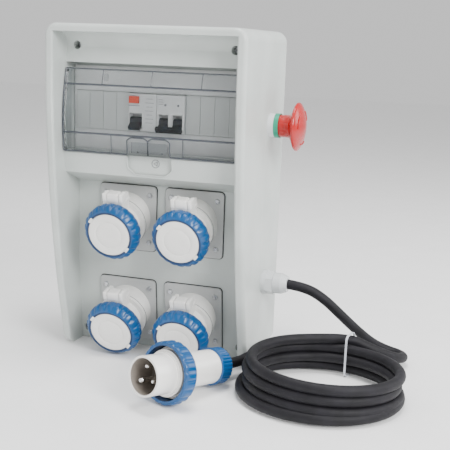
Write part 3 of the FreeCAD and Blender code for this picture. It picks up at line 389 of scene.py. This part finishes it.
def supply_cable():
    route = DROP + coil_points()[1:] + LEAVING + TAIL
    data = bpy.data.curves.new("supply_cable", "CURVE")
    data.dimensions = "3D"
    data.bevel_depth = CABLE_DIAMETER / 2 * MM
    data.bevel_resolution = 8
    data.resolution_u = 10
    data.use_fill_caps = True
    line = data.splines.new("NURBS")
    line.points.add(len(route) - 1)
    for spot, point in zip(line.points, route):
        spot.co = (*(Vector(point) * MM), 1)
    line.order_u = 3
    line.use_endpoint_u = True
    cable = bpy.data.objects.new("supply_cable", data)
    bpy.context.scene.collection.objects.link(cable)
    data.materials.append(CABLE)
    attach(cable, "box")
    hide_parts("supply_cable_drop", "supply_cable_coil", "supply_cable_tail")
    return cable


cable = supply_cable()


def cable_tie():
    """A thin strap round the bundle at the back of the coil."""
    spin = Matrix.Translation(Vector((COIL_X, COIL_Y, 0)) * MM) @ Matrix.Rotation(
        math.radians(TIE_TURN), 4, "Z")
    inner, outer, top, corner = TIE_INNER, TIE_OUTER, TIE_TOP, TIE_CORNER
    loop = []
    for cy, cz, start in ((outer - corner, top - corner, 0), (inner + corner, top - corner, 90),
                          (inner + corner, corner, 180), (outer - corner, corner, 270)):
        for k in range(7):
            angle = math.radians(start + 15 * k)
            loop.append((cy + corner * math.cos(angle), cz + corner * math.sin(angle)))
    work = bmesh.new()
    centre = Vector(((inner + outer) / 2, top / 2))
    rows = []
    for offset in (0, TIE_THICKNESS):
        for x in (-TIE_HALF_WIDTH, TIE_HALF_WIDTH):
            row = []
            for y, z in loop:
                out = (Vector((y, z)) - centre).normalized() * offset
                row.append(work.verts.new(Vector((x, y - out.x, max(z - out.y, 0.2))) * MM))
            rows.append(row)
    count = len(loop)
    for a, b in ((0, 1), (1, 3), (3, 2), (2, 0)):
        for k in range(count):
            n = (k + 1) % count
            work.faces.new((rows[a][k], rows[a][n], rows[b][n], rows[b][k]))
    bmesh.ops.recalc_face_normals(work, faces=work.faces)
    mesh = bpy.data.meshes.new("tie_strap")
    work.to_mesh(mesh)
    work.free()
    strap = add("tie_strap", mesh, TIE, "box", smooth=40, place=spin)
    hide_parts("cable_tie")
    return strap


tie = cable_tie()

# ---- plug ----

PLUG_SWING, PLUG_PITCH, PLUG_RING = 22.8, 8.3, 34
PLUG_X, PLUG_Y, PLUG_LIFT = 75, -167, 0.05
plug_frame = (
    Matrix.Translation(Vector((
        PLUG_X, PLUG_Y, PLUG_RING * math.cos(math.radians(PLUG_PITCH)) + PLUG_LIFT)) * MM)
    @ Matrix.Rotation(math.radians(-PLUG_SWING), 4, "Z")
    @ Matrix.Rotation(math.radians(-PLUG_PITCH), 4, "X")
)


def scallops(count, depth, rows):
    """Finger grips: shallow hollows round the rows of a ring that the hand holds."""

    def wave(angle, index):
        if index not in rows:
            return 0
        hollow = 0.5 + 0.5 * math.cos(count * angle)
        return -depth * hollow**3

    return wave


def grip_ring(name, node, place, body, front, back, radius, front_radius, bore, lip, count):
    """The blue bayonet ring: rounded shoulder, scalloped grip, and painted shade in a darker blue on
    the lip and bore inside.
    """
    reach = front - back
    slope = radius - front_radius
    profile = [
        (front - 1.4, bore), (front - 1.4, lip + 0.1), (front - 0.3, lip), (front, lip + 0.5),
        (front, front_radius - 0.4), (front - 0.5, front_radius + 0.5),
        (front - slope * 0.62, front_radius + slope * 0.55),
        (front - slope * 1.15, radius - 0.55), (front - slope * 1.35, radius),
        (back + reach * 0.3, radius), (back + 1.8, radius - 0.3), (back + 0.5, radius - 1.0),
        (back, radius - 1.8), (back, bore + 0.4), (back + 0.5, bore), (front - 1.4, bore),
    ]
    mesh = lathe(name, profile, around=count * 10,
                 wave=scallops(count, 1.3, range(6, 12)))
    ring = add(name, mesh, BLUE, body, smooth=38)
    # Painted shade: the faces of the lip and bore inside take the darker blue.
    mesh.materials.append(BLUE_PAINTED_SHADE)
    for face in mesh.polygons:
        if math.hypot(face.center.x, face.center.z) < (bore + 0.7) * MM:
            face.material_index = 1
    mesh.transform(place)
    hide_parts(node)
    return ring


turned_about = plug_frame @ Matrix.Rotation(math.pi, 4, "Z")
plug_ring = grip_ring("plug_grip_ring", "plug_ring", turned_about, "plug_ring_body", 8, -10,
                      PLUG_RING, PLUG_RING - 3, 29, 26.4, 20)
# A dark sheet inside the white sleeve: painted shade on its inner wall.
sleeve_shade = lathe("plug_sleeve_shade", [(6, 19.25), (39.4, 19.25), (39.4, 18.8), (6, 18.8), (6, 19.25)])
add("plug_sleeve_shade", sleeve_shade, SLEEVE_PAINTED_SHADE, "box", smooth=30, place=plug_frame)


def plug_nut():
    """The ribbed nut that clamps the cable at the back of the plug."""
    profile = [
        (-62.2, 16.3), (-62.2, 20.4), (-62.8, 21), (-64.5, 21), (-66, 20.4), (-76, 20.4),
        (-78.5, 20.6), (-81, 18.8), (-84.5, 15.8), (-87.4, 13.2), (-88.2, 12.2), (-88.2, 6.1),
    ]
    mesh = lathe("plug_nut_ribbed", profile, around=180, wave=scallops(30, 0.9, range(4, 9)))
    nut = add("plug_nut_ribbed", mesh, BLUE, "box", smooth=38, place=plug_frame)
    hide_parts("plug_gland_nut")
    return nut


nut = plug_nut()


# ---- sockets ----

SOCKET_X = {"left": -43, "right": 43}
PANEL_Y, PANEL_BREAK, PANEL_TILT = -17.0, 105.0, 6.5
FLANGE_WIDTH, FLANGE_HEIGHT, FLANGE_THICK = 74, 80, 2.4
FLANGE_STACK, GASKET_THICK, GASKET_MARGIN = 3.0, 0.9, 1.6
ROWS = {"upper": (165.4, 13.5, 0.0), "lower": (48.5, 18.0, PANEL_TILT)}


def socket_details():
    for row, (z, tilt, panel) in ROWS.items():
        lean = math.tan(math.radians(panel))
        y = PANEL_Y + (PANEL_BREAK - z) * lean - FLANGE_STACK / math.cos(math.radians(panel))
        for side, x in SOCKET_X.items():
            place = f"{row}_{side}"
            lid, ring = f"lid_{place}", f"ring_{place}"
            along = tilted(x, y, z, tilt)
            grip_ring(f"grip_ring_{place}", f"lock_ring_{place}", along, ring, 54.6, 37.2, 34.6,
                      29, 27.8, 26.3, 22)
            face = lathe(f"lid_face_{place}", [
                (53.6, 25.9), (54.3, 25.9), (54.9, 25.3), (55.2, 24.4), (55.2, 17.8), (55.0, 17.2),
                (54.7, 16.9), (54.7, 15.9), (55.0, 15.5), (55.35, 14.5), (55.5, 8), (55.6, 0.005)])
            add(f"lid_face_{place}", face, WHITE, lid, smooth=30, place=along)
            for number, degrees in enumerate((142, -38)):
                angle = math.radians(degrees)
                lug = slab(f"lid_lug_{place}_{number}", 3.2, 6.5, 1.2, 0.9, 0.4)
                spot = along @ Matrix.Translation(Vector(
                    (27.2 * math.cos(angle), -54.5, 27.2 * math.sin(angle))) * MM
                ) @ Matrix.Rotation(-angle, 4, "Y")
                add(f"lid_lug_{place}_{number}", lug, WHITE, lid, 30, spot)
            on_panel = tilted(x, y, z, panel)
            plate = slab(f"flange_plate_{place}", FLANGE_WIDTH, FLANGE_HEIGHT, FLANGE_THICK,
                         4.5, 0.7)
            plate = add(f"flange_plate_{place}", plate, FLANGE, "box", 30,
                        on_panel @ Matrix.Translation((0, FLANGE_THICK * MM, 0)))
            edge = slab(f"flange_gasket_{place}", FLANGE_WIDTH + GASKET_MARGIN,
                        FLANGE_HEIGHT + GASKET_MARGIN, GASKET_THICK, 5.2, 0.2)
            edge = add(f"flange_gasket_{place}", edge, SEAL, "box", 30,
                       on_panel @ Matrix.Translation((0, FLANGE_STACK * MM, 0)))
            if place == "upper_left":
                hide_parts("socket_flanges")
                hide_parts("flange_gaskets")
            seam = [(30.1 * math.cos(math.radians(a)), -13.9, 30.1 * math.sin(math.radians(a)))
                    for a in range(0, 360, 6)]
            wire(f"collar_seam_{place}", seam, 0.35, MARK, "box", cyclic=True,
                 place=along)
            back = slab(f"hinge_cover_{place}", 25.6, 5.2, 10, 2.2, 0.9)
            add(f"hinge_cover_{place}", back, WHITE, "box", 30,
                along @ Matrix.Translation(Vector((0, -16.2, 33.4)) * MM))
            knuckle = slab(f"hinge_knuckle_{place}", 14.9, 11.2, 11, 2.6, 1.4)
            add(f"hinge_knuckle_{place}", knuckle, WHITE, lid, 30,
                along @ Matrix.Translation(Vector((0, -26, 39.3)) * MM))
            for mark, ear_x in (("a", -10.3), ("b", 10.3)):
                ear = slab(f"hinge_ear_{place}_{mark}", 5.1, 11.4, 11.2, 2, 1.4)
                add(f"hinge_ear_{place}_{mark}", ear, WHITE, "box", 30,
                    along @ Matrix.Translation(Vector((ear_x, -25.9, 39.3)) * MM))


socket_details()

# ---- window ----

WINDOW_HALF = 107.9
BOW_TOP, BOW_FOOT, BOW_RADIUS = (-54.5, 344.0), (-61.0, 247.0), 222.0


def bow(z):
    """How far forward the lid's outer face is at height z."""
    top, foot = Vector(BOW_TOP), Vector(BOW_FOOT)
    chord = top - foot
    normal = Vector((-chord.y, chord.x)).normalized()
    centre = (top + foot) / 2 - normal * math.sqrt(BOW_RADIUS**2 - (chord.length / 2) ** 2)
    return centre.x - math.sqrt(BOW_RADIUS**2 - (z - centre.y) ** 2)


def window_details():
    """Dark moulded edges, ribs and the latch loop of the clear lid."""
    half = WINDOW_HALF

    def strip(name, points, radius=0.7):
        wire(name, points, radius, SMOKE_EDGE, "window")

    def level(z, low=-half, high=half):
        return [(low, bow(z) - 0.1, z), (high, bow(z) - 0.1, z)]

    def upright(x, low, high, steps=8):
        return [(x, bow(low + (high - low) * k / steps) - 0.1, low + (high - low) * k / steps)
                for k in range(steps + 1)]

    strip("window_band_top", level(343.4), 0.6)
    strip("window_band_upper", level(325.5), 1.15)
    strip("window_band_lower", level(269.5), 1.15)
    strip("window_band_foot_left", level(247.6, -half, -27), 0.9)
    strip("window_band_foot_right", level(247.6, 27, half), 0.9)
    for side, x in (("left", -half), ("right", half)):
        strip(f"window_edge_{side}", upright(x, 247.4, 343.6, 14), 0.9)
    for number, x in enumerate((-60, 1, 62)):
        strip(f"window_rib_upper_{number}", upright(x, 326, 343), 0.55)
    for number, x in enumerate((-46, 43)):
        strip(f"window_rib_lower_{number}", upright(x, 248, 269), 0.55)
    for number, (low, high) in enumerate(((-26, 0), (0, 27))):
        loop = []
        for k in range(19):
            angle = math.radians(180 - 10 * k)
            x = (low + high) / 2 + (high - low) / 2 * max(-1, min(1, 1.15 * math.cos(angle)))
            z = 259 + 8.5 * min(1, 1.2 * math.sin(angle))
            loop.append((x, bow(z) - 0.3, z))
        loop = [(low, bow(248) - 0.3, 248)] + loop + [(high, bow(248) - 0.3, 248)]
        strip(f"latch_loop_{number}", loop, 0.8)
    shine = slab("latch_tab", 50, 12.5, 1.6, 4, 0.6)
    add("latch_tab", shine, SMOKE, "window", 30,
        Matrix.Translation(Vector((0.5, bow(255) - 0.1, 256.2)) * MM))
    hook = slab("window_hook", 5, 8, 2, 1.6, 0.5)
    add("window_hook", hook, SMOKE, "window", 30,
        Matrix.Translation(Vector((-57, bow(334) + 4.5, 334)) * MM))


window_details()


def thumb_scoop():
    """The finger recess below the latch, with a plain lock mark on its floor."""

    def sill(z):
        return -58.3 + (245.5 - z) * 5 / 24.5

    side = [(28, 244.5), (28, 238), (28, 232.8), (26.8, 230.6), (23.5, 227.6), (20, 224.8),
            (17.5, 224)]
    rim = [(-x, sill(z), z) for x, z in side] + [(x, sill(z), z) for x, z in side[::-1]]
    wire("scoop_lip", rim, 0.9, SHELL, "box")
    floor_y = -52.6
    circle = [(6 + 4.6 * math.cos(math.radians(a)), floor_y, 238 + 4.6 * math.sin(math.radians(a)))
              for a in range(0, 360, 12)]
    wire("lock_mark_ring", circle, 0.35, MARK, "box", cyclic=True)
    arrow = [(8, floor_y, 240.4), (3.8, floor_y, 238), (8, floor_y, 235.6)]
    wire("lock_mark_arrow", arrow, 0.55, MARK, "box", cyclic=True)


thumb_scoop()


# ---- breakers ----


DEVICE_FACE = -38.0
LEVER_LOW, LEVER_HIGH = 275.6, 294.4


def breaker_details():
    """Recess frames round the levers, indicator holes and the printed rules on the devices."""
    face = DEVICE_FACE
    for number, (x, width) in enumerate(((-26, 16), (8.75, 12), (26.25, 12))):
        left, right = x - width / 2 - 0.6, x + width / 2 + 0.6
        frame_line = [(left, face - 0.1, LEVER_LOW), (right, face - 0.1, LEVER_LOW),
                      (right, face - 0.1, LEVER_HIGH), (left, face - 0.1, LEVER_HIGH)]
        wire(f"lever_frame_{number}", frame_line, 0.6, WHITE, "box", cyclic=True)
    for number, x in enumerate((11, 27)):
        dot = slab(f"indicator_{number}", 2.6, 2.6, 0.5, 1.25, 0.2)
        add(f"indicator_{number}", dot, MARK, "box", 30,
            Matrix.Translation(Vector((x, face + 0.1, 305)) * MM))
    for number in range(7):
        width = (9, 11, 8, 10, 7, 10, 9)[number]
        rule = slab(f"device_rule_{number}", width, 0.45, 0.25, 0.2, 0)
        add(f"device_rule_{number}", rule, MARK, "box", 30,
            Matrix.Translation(Vector((-9, face + 0.1, 311 - 4.6 * number)) * MM))
    for number in range(3):
        rule = slab(f"device_rule_side_{number}", 6, 0.45, 0.25, 0.2, 0)
        add(f"device_rule_side_{number}", rule, MARK, "box", 30,
            Matrix.Translation(Vector((5.5, face + 0.1, 311 - 2.6 * number)) * MM))
    line = slab("test_rule", 14, 0.7, 0.25, 0.3, 0)
    add("test_rule", line, MARK, "box", 30,
        Matrix.Translation(Vector((-28, face + 0.1, 302.6)) * MM))
    for number, x in enumerate((-0.0, 35.0)):
        gap = slab(f"device_gap_{number}", 0.6, 44, 0.3, 0.2, 0)
        add(f"device_gap_{number}", gap, MARK, "box", 30,
            Matrix.Translation(Vector((x, -33.2, 294.8)) * MM))
    border = [(-105.6, -32.2, 271.9), (105.6, -32.2, 271.9), (105.6, -32.2, 317.7),
              (-105.6, -32.2, 317.7)]
    wire("cover_border", border, 0.5, BLANK, "box", cyclic=True)


breaker_details()

# ---- emergency stop ----


STOP_PLACE = (121, 21, 284.5)


def stop_head():
    """The red mushroom head, with its plain turning arrows."""
    place = Matrix.Translation(Vector(STOP_PLACE) * MM) @ Matrix.Rotation(
        math.radians(90), 4, "Z")
    profile = [
        (8.0, 12.2), (8.4, 12.9), (9.5, 13.2), (18, 13.2), (23.5, 13.4), (25.6, 14.6),
        (27.5, 18.2), (29.6, 23.2), (31.2, 26.8), (32.3, 28.2), (33.2, 28.5), (34.1, 28.3),
        (35.2, 27.4), (37.2, 24.2), (39.2, 19.4), (40.8, 13.6), (41.9, 7.5), (42.5, 0.005)]
    mesh = lathe("stop_mushroom", profile, around=128)
    head = add("stop_mushroom", mesh, RED, "stop_knob", smooth=60, place=place)
    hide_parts("estop_head")
    for number in range(3):
        angle = math.radians(120 * number + 40)
        points = []
        for k in range(7):
            swing = angle + math.radians(7 * (k - 3))
            points.append((20.5 * math.cos(swing), -39.1, 20.5 * math.sin(swing)))
        wire(f"stop_arrow_{number}", points, 0.75, RED, "stop_knob", place=place)


stop_head()
for node in ("estop_collar", "estop_status_ring", "gland_body", "gland_nut", "plug_body",
             "plug_sleeve", "mcb_toggle", "rccb_toggle", "test_button"):
    softened(node)


# ---- floor and light ----


def studio():
    mesh = bpy.data.meshes.new("floor")
    size = 6.0
    mesh.from_pydata([(-size, -size, -0.0004), (size, -size, -0.0004), (size, size, -0.0004),
                      (-size, size, -0.0004)], [], [(0, 1, 2, 3)])
    floor = bpy.data.objects.new("floor", mesh)
    bpy.context.scene.collection.objects.link(floor)
    mesh.materials.append(plastic("floor_white", (0.94, 0.94, 0.94), 0.7, vary=0.01))
    lights = [
        ("key", (1.5, -1.1, 1.1), 44, 0.8), ("fill", (-1.5, -1.4, 0.9), 8, 1.4),
        ("top", (0.2, -0.1, 1.9), 32, 0.8), ("rim", (1.6, 0.7, 0.8), 12, 0.9),
    ]
    for name, place, power, size in lights:
        data = bpy.data.lights.new(name, "AREA")
        data.energy = power
        data.size = size
        lamp = bpy.data.objects.new(name, data)
        lamp.location = place
        aim = Vector((0.05, 0, 0.18)) - Vector(place)
        lamp.rotation_euler = aim.to_track_quat("-Z", "Y").to_euler()
        bpy.context.scene.collection.objects.link(lamp)
    world = bpy.data.worlds.new("studio")
    bpy.context.scene.world = world
    world.use_nodes = True
    sky = world.node_tree.nodes["Background"]
    sky.inputs["Color"].default_value = (1, 1, 1, 1)
    sky.inputs["Strength"].default_value = 0.8


studio()
